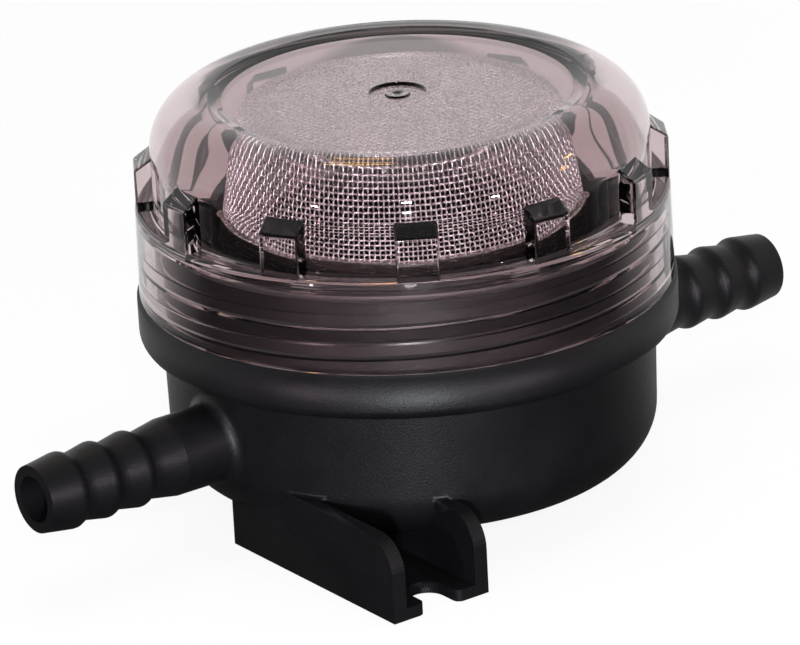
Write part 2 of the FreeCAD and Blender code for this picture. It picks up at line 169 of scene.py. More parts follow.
class Net:
    """One node tree, filled through a single method."""

    def __init__(self, tree: NodeTree) -> None:
        """Empties the tree and takes it over."""
        tree.nodes.clear()
        self.tree = tree

    @staticmethod
    def for_material(name: str) -> tuple[Material, "Net"]:
        """Starts a new material.

        Args:
            name: the material's name.

        Returns:
            The material and its empty net.
        """
        material = bpy.data.materials.new(name)
        material.use_nodes = True
        return material, Net(material.node_tree)

    def add(self, kind: str, settings: dict[str, object] | None = None,
            values: dict[str | int, Value] | None = None, output: str | int = 0) -> Socket:
        """Adds a node of any kind.

        Args:
            kind: the node's type name.
            settings: properties, set first; "stops" holds a ramp's two places and their tones.
            values: numbers, colours or links for the node's sockets, by name or index.
            output: the output to hand back.

        Returns:
            That output as a Socket.
        """
        node = self.tree.nodes.new(kind)
        for key, setting in (settings or {}).items():
            if key != "stops":
                setattr(node, key, setting)
                continue
            for stop, (position, tone) in zip(node.color_ramp.elements, setting):
                stop.position = position
                stop.color = (*((tone,) * 3 if isinstance(tone, float) else tone), 1.0)
        for key, value in (values or {}).items():
            if isinstance(value, Socket):
                self.tree.links.new(value.output, node.inputs[key])
            elif isinstance(value, tuple) and node.inputs[key].type == "RGBA":
                node.inputs[key].default_value = (*value, 1.0)
            else:
                node.inputs[key].default_value = value
        return Socket(self, node.outputs[output] if node.outputs else None)

    def place(self) -> Socket:
        """Object coordinates in metres."""
        return self.add("ShaderNodeTexCoord", output="Object")

    def noise(self, where: Socket, grain: Grain) -> Socket:
        """Fractal noise.

        Args:
            where: coordinates in metres.
            grain: the noise's size and character.

        Returns:
            A value round one half.
        """
        scaled = self.add("ShaderNodeMapping", None, {"Vector": where, "Scale": grain.stretch})
        return self.add("ShaderNodeTexNoise", None, {
            "Vector": scaled, "Scale": 1.0 / grain.size, "Detail": grain.detail,
            "Roughness": grain.roughness})

    def ramp(self, factor: Socket, stops: Stops) -> Socket:
        """Colour ramp over a value."""
        return self.add("ShaderNodeValToRGB", {"stops": stops}, {"Fac": factor})

    def mottle(self, pattern: Socket, base: Colour, change: float,
               ends: Point2 = (0.3, 0.8)) -> Socket:
        """Base colour that goes over to a paler or darker one between two levels of a pattern."""
        other = tuple(change * channel for channel in base)
        return self.ramp(pattern, ((ends[0], base), (ends[1], other)))

    def bump(self, height: Socket, distance: float, strength: float) -> Socket:
        """Normal bumped by a height from 0 to 1, whose full depth is given in metres."""
        return self.add("ShaderNodeBump", None,
                        {"Height": height, "Distance": distance, "Strength": strength})

    def glow(self, kind: Glow, grey: float, strength: float = 1.0) -> Socket:
        """Even grey light."""
        return self.add(kind.value, None, {"Color": (grey,) * 3, "Strength": strength})

    def mixed(self, factor: Socket, first: Socket, second: Socket) -> Socket:
        """Mix of two shaders."""
        return self.add("ShaderNodeMixShader", None, {0: factor, 1: first, 2: second})

    def seen(self) -> tuple[Socket, Socket]:
        """How a thing is seen.

        Returns:
            One where it is seen directly, and one where it is seen in gloss or through the cover.
        """
        camera = self.add("ShaderNodeLightPath", output="Is Camera Ray")
        path = camera.output.node.outputs
        gloss = Socket(self, path["Is Glossy Ray"])
        return camera, gloss.at_least(Socket(self, path["Is Transmission Ray"]))

    def along(self, where: Socket, way: Point3) -> Socket:
        """Length of a vector along a way."""
        return self.add("ShaderNodeVectorMath", {"operation": "DOT_PRODUCT"}, {0: where, 1: way},
                        output="Value")

    def surface(self, values: dict[str | int, Value]) -> None:
        """Principled surface joined to the material's output."""
        shader = self.add("ShaderNodeBsdfPrincipled", None, values)
        self.add("ShaderNodeOutputMaterial", None, {"Surface": shader})


# ---------------------------------------------------------------- finishes

class Finish(ABC):
    """A procedural finish."""

    name: ClassVar[str]

    @abstractmethod
    def values(self, net: Net) -> dict[str | int, Value]:
        """Numbers, colours and links for the surface's sockets, by socket name."""

    def material(self) -> Material:
        """Builds the finish.

        Returns:
            The material.
        """
        material, net = Net.for_material(self.name)
        net.surface(self.values(net))
        return material


@dataclass(frozen=True)
class MouldedBlack(Finish):
    """Glass-filled black plastic with the mould's fine spark grain.

    Attributes:
        base, pale, ends: colour of its darkest patches, how many times paler the palest are, and
            the two levels of the flow marks between which it changes.
        roughness, grain_rough, flow_rough: middle roughness, and what each layer adds.
        gloss: strength of its reflections.
        grain, flow: the mould's grain and the melt's flow marks.
        depth, strength: depth of the grain in metres, and the share of it that shows.
    """

    name: ClassVar[str] = "moulded_black"
    base: Colour = (0.0022, 0.0022, 0.0026)
    pale: float = 1.5
    ends: Point2 = (0.3, 0.75)
    roughness: float = 0.42
    grain_rough: float = 0.16
    flow_rough: float = 0.12
    gloss: float = 0.18
    grain: Grain = Grain(0.32 * MM, 3.0, 0.6)
    flow: Grain = Grain(9 * MM, 3.0, 0.6)
    depth: float = 0.06 * MM
    strength: float = 0.8

    def values(self, net: Net) -> dict[str | int, Value]:
        """Works out the surface's values.

        Args:
            net: the material's net.

        Returns:
            Numbers, colours and links, by socket name.
        """
        where = net.place()
        grain, flow = net.noise(where, self.grain), net.noise(where, self.flow)
        return {
            "Base Color": net.mottle(flow, self.base, self.pale, self.ends),
            "Roughness": (self.roughness + self.grain_rough * (grain - 0.5)
                          + self.flow_rough * (flow - 0.5)),
            "Specular IOR Level": self.gloss,
            "Normal": net.bump(grain, self.depth, self.strength)}


@dataclass(frozen=True)
class TintedClear(Finish):
    """Clear moulded plastic with a faint smoky pink tint and slow waves in its skin.

    Attributes:
        tint: colour that light takes on in passing through.
        roughness, scuff_rough, scuff_start: least roughness, and what scuffs over a level add.
        index: refractive index.
        face_gloss: strength of its reflections seen face on.
        wave, fine, fine_share, scuff: slow waves, fine ripple and its share, and scuffs.
        depth, strength: depth of the waves in metres, and the share of it that shows.
    """

    name: ClassVar[str] = "tinted_clear"
    tint: Colour = (0.62, 0.51, 0.52)
    roughness: float = 0.015
    scuff_rough: float = 0.05
    scuff_start: float = 0.45
    index: float = 1.50
    face_gloss: float = 0.8
    wave: Grain = Grain(7 * MM, 1.0, 0.4)
    fine: Grain = Grain(0.5 * MM, 2.0, 0.5)
    scuff: Grain = Grain(14 * MM, 4.0, 0.65)
    fine_share: float = 0.03
    depth: float = 0.05 * MM
    strength: float = 0.3

    def values(self, net: Net) -> dict[str | int, Value]:
        """Works out the surface's values.

        Args:
            net: the material's net.

        Returns:
            Numbers, colours and links, by socket name.
        """
        where = net.place()
        relief = net.noise(where, self.wave) + self.fine_share * net.noise(where, self.fine)
        scuffs = (net.noise(where, self.scuff) - self.scuff_start).at_least(0.0)
        return {
            "Base Color": self.tint,
            "Roughness": self.roughness + self.scuff_rough * scuffs,
            "IOR": self.index,
            "Transmission Weight": 1.0,
            "Specular Tint": (self.face_gloss,) * 3,
            "Normal": net.bump(relief, self.depth, self.strength)}


@dataclass(frozen=True)
class Rubber(Finish):
    """Dull black moulded rubber.

    Attributes:
        base: colour of its darkest patches.
        pale: how many times paler its palest patches are.
        roughness: middle roughness, with spread the difference over the grain.
        grain: the mould's grain.
        depth, strength: depth of the grain in metres, and the share of it that shows.
    """

    name: ClassVar[str] = "seal_rubber"
    base: Colour = (0.012, 0.012, 0.012)
    pale: float = 2.0
    roughness: float = 0.55
    spread: float = 0.2
    grain: Grain = Grain(0.25 * MM, 2.0, 0.5)
    depth: float = 0.02 * MM
    strength: float = 0.5

    def values(self, net: Net) -> dict[str | int, Value]:
        """Works out the surface's values.

        Args:
            net: the material's net.

        Returns:
            Numbers, colours and links, by socket name.
        """
        grain = net.noise(net.place(), self.grain)
        return {
            "Base Color": net.mottle(grain, self.base, self.pale),
            "Roughness": self.roughness + self.spread * (grain - 0.5),
            "Normal": net.bump(grain, self.depth, self.strength)}


@dataclass(frozen=True)
class BareSteel(Finish):
    """Bare stainless steel with fine marks from how it was worked.

    Attributes:
        base: colour of its brightest patches.
        dull: brightness of its dullest patches against the brightest.
        roughness: middle roughness, with spread the difference over the marks.
        marks, cloud: the fine marks, and the slow drift of its colour.
        depth, strength: depth of the marks in metres, and the share of it that shows.
    """

    base: Colour
    dull: float
    roughness: float
    spread: float
    marks: Grain
    cloud: Grain
    depth: float = 0.01 * MM
    strength: float = 0.3

    def values(self, net: Net) -> dict[str | int, Value]:
        """Works out the surface's values.

        Args:
            net: the material's net.

        Returns:
            Numbers, colours and links, by socket name.
        """
        where = net.place()
        marks = net.noise(where, self.marks)
        return {
            "Base Color": net.mottle(net.noise(where, self.cloud), self.base, self.dull),
            "Metallic": 1.0,
            "Roughness": self.roughness + self.spread * (marks - 0.5),
            "Normal": net.bump(marks, self.depth, self.strength)}


@dataclass(frozen=True)
class PressedSteel(BareSteel):
    """Bright pressed stainless sheet with fine drawing lines round the axis."""

    name: ClassVar[str] = "pressed_steel"
    base: Colour = (0.62, 0.60, 0.57)
    dull: float = 0.8
    roughness: float = 0.24
    spread: float = 0.2
    marks: Grain = Grain(3 * MM, 2.0, 0.6, (1, 1, 40))
    cloud: Grain = Grain(4 * MM, 2.0, 0.5)


@dataclass(frozen=True)
class WovenWire(BareSteel):
    """Drawn stainless wire, a little duller in slow random patches."""

    name: ClassVar[str] = "woven_wire"
    base: Colour = (0.86, 0.84, 0.85)
    dull: float = 0.75
    roughness: float = 0.28
    spread: float = 0.22
    marks: Grain = Grain(0.4 * MM, 2.0, 0.6)
    cloud: Grain = Grain(6 * MM, 2.0, 0.5)


# ---------------------------------------------------------------- outlines and places

def arc(centre: Point2, radius: float, start: float, end: float, steps: int) -> list[Point2]:
    """Points of an arc in the (radius, height) plane, both ends included; degrees from outwards."""
    angles = [math.radians(start + (end - start) * i / steps) for i in range(steps + 1)]
    return [(centre[0] + radius * math.cos(a), centre[1] + radius * math.sin(a)) for a in angles]


def corner(at: Point2, radius: float, start: float, end: float, steps: int) -> list[Point2]:
    """Points of the quarter round that takes off an outline's square corner.

    Args:
        at: the square corner.
        radius: the round's radius.
        start: angle of the first point, a multiple of 90 degrees from outwards.
        end: angle of the last point, 90 degrees from the start.
        steps: number of chords.

    Returns:
        The points, both ends included.
    """
    a, b = math.radians(start), math.radians(end)
    centre = (at[0] - radius * (math.cos(a) + math.cos(b)),
              at[1] - radius * (math.sin(a) + math.sin(b)))
    return arc(centre, radius, start, end, steps)


def banded(profile: Sequence[Point2], band: float = 0.12, least: float = 0.8) -> list[Point2]:
    """Adds a narrow band at both ends of an outline's long sides, so that its flats shade flat.

    Args:
        profile: closed (radius, height) outline in millimetres.
        band: width of the bands.
        least: shortest side that gets them.

    Returns:
        The outline with the added points.
    """
    points = []
    for start, end in zip(profile, [*profile[1:], profile[0]]):
        points.append(start)
        a, b = Vector(start), Vector(end)
        if (b - a).length > least and max(a.x, b.x) > ON_AXIS:
            step = (b - a).normalized() * band
            points += [tuple(a + step), tuple(b - step)]
    return points


def turned(degrees: float) -> Matrix:
    """Turn about the upright axis."""
    return Matrix.Rotation(math.radians(degrees), 3, "Z")


def outwards(azimuth: float, elevation: float = 0.0) -> Vector:
    """Way out from the strainer; azimuth in degrees from the front, elevation from level."""
    a, e = math.radians(azimuth), math.radians(elevation)
    return Vector((math.sin(a) * math.cos(e), -math.cos(a) * math.cos(e), math.sin(e)))


# ---------------------------------------------------------------- mesh helpers

def of_kind(items: Iterable[object], kind: type) -> list:
    """The items that are of one kind."""
    return [item for item in items if isinstance(item, kind)]


def drawn(bm: BMesh, profile: Sequence[Point2]) -> tuple[list[BMVert], list[BMEdge]]:
    """Draws a closed outline at azimuth 0, without the sides that lie on the axis.

    Args:
        bm: the mesh that gets it.
        profile: closed (radius, height) outline in millimetres.

    Returns:
        The outline's corners and sides.
    """
    spots = [bm.verts.new((r * MM, 0, z * MM)) for r, z in profile]
    edges = [bm.edges.new((spots[i - 1], spots[i])) for i in range(len(spots))
             if max(profile[i - 1][0], profile[i][0]) > ON_AXIS]
    return spots, edges


def spun(bm: BMesh, profile: Sequence[Point2], segments: int) -> None:
    """Spins a closed outline once round the upright axis.

    Args:
        bm: the mesh that gets the shell.
        profile: closed (radius, height) outline in millimetres.
        segments: number of steps round.
    """
    spots, edges = drawn(bm, profile)
    bmesh.ops.spin(bm, geom=spots + edges, cent=CENTRE, axis=UPWARDS, dvec=(0, 0, 0),
                   angle=2 * math.pi, steps=segments, use_merge=True)
    bmesh.ops.remove_doubles(bm, verts=bm.verts, dist=SPUN_WELD)
    bmesh.ops.recalc_face_normals(bm, faces=bm.faces)


def linked(name: str, data: ID) -> Object:
    """Makes an object of a mesh, curve, lamp or camera and puts it in the scene.

    Args:
        name: the object's name.
        data: what it holds.

    Returns:
        The object.
    """
    thing = bpy.data.objects.new(name, data)
    bpy.context.scene.collection.objects.link(thing)
    return thing


def made_mesh(thing: Object) -> Mesh:
    """Makes a mesh of an object as its modifiers or its bevel leave it.

    Args:
        thing: the object.

    Returns:
        The new mesh.
    """
    bpy.context.view_layer.update()
    graph = bpy.context.evaluated_depsgraph_get()
    return bpy.data.meshes.new_from_object(thing.evaluated_get(graph))


def dress(piece: Object, material: Material, angle: float = SHARP, level: bool = True) -> None:
    """Gives a piece its finish and smooth shading up to an angle.

    Args:
        piece: the piece.
        material: its finish.
        angle: edges sharper than this many degrees stay sharp.
        level: True keeps the shading of flat faces level right up to their rounds.
    """
    mesh = piece.data
    mesh.materials.clear()
    mesh.materials.append(material)
    mesh.polygons.foreach_set("use_smooth", [True] * len(mesh.polygons))
    mesh.polygons.foreach_set("material_index", [0] * len(mesh.polygons))
    mesh.set_sharp_from_angle(angle=math.radians(angle))
    mesh.update()
    if level:
        evener = piece.modifiers.new("level_shading", "WEIGHTED_NORMAL")
        evener.mode = "FACE_AREA_WITH_ANGLE"
        evener.weight = LEVEL_WEIGHT
        evener.keep_sharp = True


def finished(name: str, bm: BMesh, material: Material, angle: float = SHARP) -> Object:
    """Makes an object from a mesh in work.

    Args:
        name: the piece's name.
        bm: the mesh, freed afterwards.
        material: its finish.
        angle: edges sharper than this many degrees stay sharp.

    Returns:
        The object, linked to the scene.
    """
    mesh = bpy.data.meshes.new(name)
    bm.to_mesh(mesh)
    bm.free()
    piece = linked(name, mesh)
    dress(piece, material, angle)
    return piece


def carried_over(node: str, name: str, material: Material, angle: float = SHARP) -> Object:
    """Copies a CAD node's mesh, joins its loose triangles and dresses the copy.

    Args:
        node: the CAD node.
        name: the new piece's name.
        material: its finish.
        angle: edges sharper than this many degrees stay sharp.

    Returns:
        The copy.
    """
    bm = bmesh.new()
    bm.from_mesh(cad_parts[node].data)
    bmesh.ops.remove_doubles(bm, verts=bm.verts, dist=CAD_WELD)
    return finished(name, bm, material, angle)


def join(piece: Object, others: Sequence[Object]) -> None:
    """Joins other solids to a piece by exact Booleans.

    Args:
        piece: the piece, which keeps the result.
        others: the solids that it takes in; they are removed afterwards.
    """
    piece.modifiers.clear()
    for other in others:
        other.modifiers.clear()
        union = piece.modifiers.new("join", "BOOLEAN")
        union.operation = "UNION"
        union.solver = "EXACT"
        union.object = other
    mesh = made_mesh(piece)
    piece.modifiers.clear()
    piece.data = mesh
    for other in others:
        bpy.data.objects.remove(other)


def place_piece(piece: Object, body: Body, slot: Slot, *stands_for: str) -> None:
    """Fixes a piece to its body, hides the CAD nodes that it stands for, and reports it.

    Args:
        piece: the piece.
        body: the body that it moves with.
        slot: the record's slot for its finish; not used.
        stands_for: the CAD nodes that it hides.
    """
    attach(piece, body.value)
    if stands_for:
        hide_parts(*stands_for)
    LOG.info("%s rides on %s, %d faces", piece.name, body.value, len(piece.data.polygons))


# ---------------------------------------------------------------- sub-assemblies

@dataclass(frozen=True)
class Winding:
    """Run of a thread on its wall.

    Attributes:
        crest: radius of the ridge's crest in millimetres.
        height: height of the ridge's middle where it starts.
        turns: length of the ridge.
        start: azimuth of the start in degrees.
    """

    crest: float
    height: float
    turns: float
    start: float


@dataclass(frozen=True)
class Thread:
    """Right-hand trapezoid thread between the neck and the cover; lengths in millimetres.

    Attributes:
        pitch: rise of one turn.
        root, crest: height of the ridge's section at the wall and at its crest.
        sink: how far the ridge goes into its wall.
        chords: number of chords in one turn.
    """

    pitch: float = 5.0
    root: float = 2.8
    crest: float = 1.6
    sink: float = 0.5
    chords: int = 180

    def outline(self, wall: float, top: float, height: float) -> list[Point2]:
        """Ridge outline from a wall's radius to the crest's, sunk a little into the wall.

        Args:
            wall: radius of the wall that carries the ridge.
            top: radius of the ridge's crest.
            height: height of the ridge's middle.

        Returns:
            The closed outline.
        """
        sunk = wall + math.copysign(self.sink, wall - top)
        half, tip = self.root / 2, self.crest / 2
        return [(sunk, height - half), (wall, height - half), (top, height - tip),
                (top, height + tip), (wall, height + half), (sunk, height + half)]

    def ridge(self, name: str, wall: float, winding: Winding, material: Material) -> Object:
        """Winds the ridge on a wall and closes both of its ends.

        Args:
            name: the ridge's name.
            wall: radius of the wall that carries it.
            winding: where it runs.
            material: its finish.

        Returns:
            The ridge as an object.
        """
        bm = bmesh.new()
        spots, edges = drawn(bm, self.outline(wall, winding.crest, winding.height))
        bmesh.ops.rotate(bm, verts=spots, cent=CENTRE, matrix=turned(winding.start))
        bm.faces.new(spots)
        steps = round(winding.turns * self.chords)
        wound = bmesh.ops.spin(
            bm, geom=spots + edges, cent=CENTRE, axis=UPWARDS,
            dvec=(0, 0, winding.turns * self.pitch * MM / steps),
            angle=winding.turns * 2 * math.pi, steps=steps, use_merge=False)
        bmesh.ops.contextual_create(bm, geom=of_kind(wound["geom_last"], BMEdge))
        bmesh.ops.recalc_face_normals(bm, faces=bm.faces)
        return finished(name, bm, material)


@dataclass
class Housing:
    """The black moulded body: the CAD solid with its neck's thread.

    Attributes:
        thread: the thread's section.
        neck: radius of the neck's wall in millimetres.
        winding: where the thread runs.
        sharp: edges sharper than this many degrees stay sharp.
    """

    thread: Thread
    neck: float = 37.9
    winding: Winding = Winding(38.95, 38.3, 1.12, 55.0)
    sharp: float = 25.0

    def build(self, material: Material) -> None:
        """Dresses a copy of the CAD housing and winds the thread on its neck.

        Args:
            material: the plastic's finish.
        """
        body = carried_over("housing", "housing_body", material, self.sharp)
        place_piece(body, Body.HOUSING, Slot.BLACK_PLASTIC, "housing")
        ridge = self.thread.ridge("neck_thread", self.neck, self.winding, material)
        place_piece(ridge, Body.HOUSING, Slot.BLACK_PLASTIC)


@dataclass
class Cover:
    """The clear screw cover with its grip lugs; lengths in millimetres.

    Attributes:
        thread, winding: section of the thread and where it runs in the bore.
        foot, bore, skirt, brow: lowest height, inner radius, and outer radii below and above.
        ledge, ledge_under: heights of the ledge outside and inside.
        dome, dome_bore, shoulder, hollow: the dome's radii, start of its outer round, and radius
            of its inner one.
        top, wall, crest, recess, slope: the crown's height and thickness, width of its raised
            edge, and depth and half width of the step inside it.
        gate, gate_recess, sprue, sprue_rise: radii and heights of the mould's gate mark.
        sprue_top: radii across the mark's peak, and their depths below it.
        edge, *_round, step_lean: broken edges, rounds, and the turn of those at the crown's step.
        lugs, lug_turn, lug_width, lug_reach: number, azimuth, width and outer radius of the lugs.
        lug_face, lug_rise, lug_sink: their heights over the ledge outside and at the dome, and
            how far they go into it.
        near: distance within which an edge counts as being at the lugs' outside or top.
        segments: steps round the shell.
        sharp: edges sharper than this many degrees stay sharp.
    """

    thread: Thread
    winding: Winding = Winding(38.35, 37.06, 1.83, 145.0)
    foot: float = 35.0
    bore: float = 39.4
    skirt: float = 42.0
    brow: float = 41.8
    ledge: float = 50.0
    ledge_under: float = 47.6
    dome: float = 39.0
    dome_bore: float = 36.6
    shoulder: float = 58.5
    hollow: float = 8.0
    top: float = 66.5
    wall: float = 2.4
    crest: float = 2.6
    recess: float = 0.7
    slope: float = 1.1
    gate: float = 4.4
    gate_recess: float = 0.5
    sprue: float = 2.0
    sprue_rise: float = 0.3
    sprue_top: tuple[Point2, ...] = ((1.8, 0.0), (0.9, 0.05), (0.4, 0.25), (0.0, 0.3))
    edge: float = 0.3
    foot_round: float = 0.5
    brow_round: float = 0.8
    ledge_round: float = 0.5
    step_round: float = 0.35
    step_lean: float = 18.0
    gate_round: float = 0.15
    pit_round: float = 0.2
    lugs: int = 12
    lug_turn: float = -3.0
    lug_width: float = 6.6
    lug_reach: float = 41.6
    lug_face: float = 6.7
    lug_rise: float = 9.4
    lug_round: float = 0.45
    lug_sink: float = 0.4
    near: float = 0.1
    segments: int = 240
    sharp: float = 28.0

    def crown(self) -> list[Point2]:
        """Section of the crown's outside, from its raised edge to the gate mark's middle.

        Returns:
            The points.
        """
        lip = self.dome - (self.top - self.shoulder) - self.crest
        floor = self.top - self.recess
        pit = floor - self.gate_recess
        peak = pit + self.sprue_rise
        points = arc((lip + self.slope, self.top - self.step_round), self.step_round,
                     90, 90 + self.step_lean, 2)
        points += arc((lip - self.slope, floor + self.step_round), self.step_round,
                      self.step_lean - 90, -90, 2)
        points += corner((self.gate, floor), self.gate_round, 90, 180, 3)
        points += corner((self.gate, pit), self.pit_round, 0, -90, 3)
        return points + [(self.sprue, pit)] + [(r, peak - dip) for r, dip in self.sprue_top]

    def outline(self) -> list[Point2]:
        """Closed section of the shell, anticlockwise from the skirt's inner foot.

        Returns:
            The points.
        """
        under = self.top - self.wall
        points = [(self.bore + self.edge, self.foot)]
        points += corner((self.skirt, self.foot), self.foot_round, -90, 0, 4)
        points += corner((self.brow, self.ledge), self.brow_round, 0, 90, 5)
        points += corner((self.dome, self.ledge), self.ledge_round, 270, 180, 4)
        points += corner((self.dome, self.top), self.top - self.shoulder, 0, 90, 16)
        points += [*self.crown(), (0, under)]
        points += corner((self.dome_bore, under), self.hollow, 90, 0, 16)
        points += corner((self.dome_bore, self.ledge_under), self.edge, 180, 270, 3)
        return points + [(self.bore - self.edge, self.ledge_under),
                         (self.bore, self.ledge_under - self.edge),
                         (self.bore, self.foot + self.edge)]

    def lug(self, bm: BMesh) -> None:
        """Adds a grip lug at azimuth 0: its side drawn out to its width, with rounded edges.

        Args:
            bm: the mesh that gets the lug.
        """
        root, half = self.dome - self.wall / 2, self.lug_width / 2
        side = [(root, self.ledge - self.lug_sink), (self.lug_reach, self.ledge - self.lug_sink),
                (self.lug_reach, self.ledge + self.lug_face), (root, self.ledge + self.lug_rise)]
        face = bm.faces.new([bm.verts.new((x * MM, -half * MM, z * MM)) for x, z in side])
        grown = bmesh.ops.extrude_face_region(bm, geom=[face])
        bmesh.ops.translate(bm, verts=of_kind(grown["geom"], BMVert),
                            vec=(0, self.lug_width * MM, 0))
        bmesh.ops.recalc_face_normals(bm, faces=bm.faces)
        out, up = self.lug_reach - self.near, self.ledge + self.lug_face - self.near
        shown = [e for e in bm.edges if all(v.co.x > out * MM for v in e.verts)
                 or all(v.co.z > up * MM for v in e.verts)]
        bmesh.ops.bevel(bm, geom=shown, offset=self.lug_round * MM, affect="EDGES", segments=3,
                        profile=0.5, material=-1)

    def ring_of_lugs(self, material: Material) -> Object:
        """Repeats the grip lug round the cover.

        Args:
            material: the plastic's finish.

        Returns:
            All the lugs as one object.
        """
        bm = bmesh.new()
        self.lug(bm)
        one = [*bm.verts, *bm.edges, *bm.faces]
        for index in range(1, self.lugs):
            copy = bmesh.ops.duplicate(bm, geom=one)["geom"]
            bmesh.ops.rotate(bm, verts=of_kind(copy, BMVert), cent=CENTRE,
                             matrix=turned(360 * index / self.lugs))
        bmesh.ops.rotate(bm, verts=bm.verts, cent=CENTRE, matrix=turned(self.lug_turn))
        return finished("cover_lugs", bm, material)

    def build(self, material: Material) -> None:
        """Spins the shell and joins the lugs and the inner thread to it.

        Args:
            material: the plastic's finish.
        """
        bm = bmesh.new()
        spun(bm, banded(self.outline()), self.segments)
        shell = finished("cover_shell", bm, material)
        lugs = self.ring_of_lugs(material)
        ridge = self.thread.ridge("cover_thread", self.bore, self.winding, material)
        join(shell, [lugs, ridge])
        dress(shell, material, self.sharp)
        place_piece(shell, Body.COVER, Slot.CLEAR_PLASTIC, "cover")
        shell.visible_shadow = False


@dataclass
class Screen:
    """The stainless hat: pressed rim, wrapped wire cloth wall and wire cloth top; in millimetres.

    Attributes:
        foot, foot_radius: height and radius at which the wall stands in the rim.
        top, top_radius, round: height and radius of the top, and the round between it and the wall.
        disc_radius: radius of the top's cloth.
        columns, row: number of uprights round the wall, and the distance between its hoops.
        crown: half length of a crimp's flat crown, against the distance between crossings.
        lap: how far the wall's cloth reaches in over the top's.
        pitch, wire: distance between the top's wires, and thickness of the wire.
        turn: azimuth of the first upright in degrees.
        sharp: edges sharper than this many degrees stay sharp.
    """

    foot: float = 47.9
    foot_radius: float = 27.45
    top: float = 62.7
    top_radius: float = 25.5
    round: float = 2.2
    disc_radius: float = 24.0
    columns: int = 212
    row: float = 0.74
    crown: float = 0.2
    lap: float = 1.5
    pitch: float = 0.80
    wire: float = 0.27
    turn: float = -125.0
    sharp: float = 80.0

    @property
    def step(self) -> float:
        """Angle between two uprights, in radians."""
        return 2 * math.pi / self.columns

    def profile(self) -> tuple[np.ndarray, np.ndarray, np.ndarray]:
        """Section of the wall cloth's middle surface, which runs on a little past the wall's foot.

        Returns:
            Length along the section from the axis, radius and height at closely spaced points. The
            last but one is the wall's foot.
        """
        lean = math.atan2(self.foot_radius - self.top_radius, self.top - self.round - self.foot)
        centre = (self.top_radius - self.round, self.top - self.round)
        bend = arc(centre, self.round, 90, math.degrees(lean), 40)
        slope = Vector((math.sin(lean), -math.cos(lean)))
        end = Vector(bend[-1])
        length = (end.y - self.foot) / -slope.y
        wall = [tuple(end + slope * length * share) for share in (1.0, 1.5)]
        points = np.array([(0.0, self.top), *bend, *wall])
        steps = np.hypot(*np.diff(points, axis=0).T)
        return np.concatenate([[0], np.cumsum(steps)]), points[:, 0], points[:, 1]

    def spots(self, along: np.ndarray, angle: np.ndarray, lift: np.ndarray,
              reach: float = 0.05) -> np.ndarray:
        """Places in the wall's cloth.

        Args:
            along: lengths along the section from the axis.
            angle: azimuths in radians.
            lift: distances outwards from the cloth's middle surface.
            reach: how far ahead the surface's direction is taken.

        Returns:
            One place in each row, in millimetres.
        """
        length, radius, height = self.profile()
        r, z = np.interp(along, length, radius), np.interp(along, length, height)
        out = np.interp(along + reach, length, radius) - r
        down = np.interp(along + reach, length, height) - z
        size = np.hypot(out, down)
        r, z = r - lift * down / size, z + lift * out / size
        return np.stack([r * np.cos(angle), r * np.sin(angle), z], -1)

    def crowns(self, count: int) -> tuple[np.ndarray, np.ndarray]:
        """Puts two places at each of a wire's crossings, so that its crimps have flat crowns.

        Args:
            count: number of crossings.

        Returns:
            The places, counted in crossings, and 1 where the wire is over or -1 where it is under.
        """
        crossing = np.repeat(np.arange(count), 2)
        place = crossing + np.tile([-self.crown, self.crown], count)
        return place, np.where(crossing % 2 == 0, 1.0, -1.0)

    def rows(self) -> tuple[float, int]:
        """Spaces the hoops evenly down from the wall's lap, so that the last is at its foot.

        Returns:
            Length along the section to the first hoop, and the number of hoops.
        """
        start, end = self.top_radius - self.round - self.lap, float(self.profile()[0][-2])
        count = int((end - start) / self.row)
        return end - count * self.row, count

    def uprights(self) -> list[np.ndarray]:
        """Draws the wires that run down the wall.

        Returns:
            Their middle lines.
        """
        start, count = self.rows()
        place, over = self.crowns(count + 1)
        return [self.spots(start + self.row * place, np.full(len(place), self.step * j),
                           over * self.wire / 2 * (-1) ** j) for j in range(self.columns)]

    def hoops(self) -> list[np.ndarray]:
        """Draws the wires that run round the wall.

        Returns:
            Their middle lines.
        """
        start, count = self.rows()
        place, over = self.crowns(self.columns)
        return [self.spots(np.full(len(place), start + self.row * k), self.step * place,
                           -over * self.wire / 2 * (-1) ** k) for k in range(count)]

    def disc(self, least: int = 2) -> list[np.ndarray]:
        """Draws both sets of straight wires in the top, which laps under the wall's bent edge.

        Args:
            least: number of crossings that a wire has to have on each side of its middle.

        Returns:
            Their middle lines.
        """
        reach = int(self.disc_radius / self.pitch)
        level = self.top - 2 * self.wire
        lines = []
        for j in range(-reach, reach + 1):
            half = int(math.sqrt(self.disc_radius ** 2 - (j * self.pitch) ** 2) / self.pitch)
            if half < least:
                continue
            place = np.arange(-half, half + 1)
            lift = np.where((place + j) % 2 == 0, self.wire / 2, -self.wire / 2)
            side = np.full(len(place), j * self.pitch)
            lines.append(np.stack([place * self.pitch, side, level + lift], -1))
            lines.append(np.stack([side, place * self.pitch, level - lift], -1))
        return lines

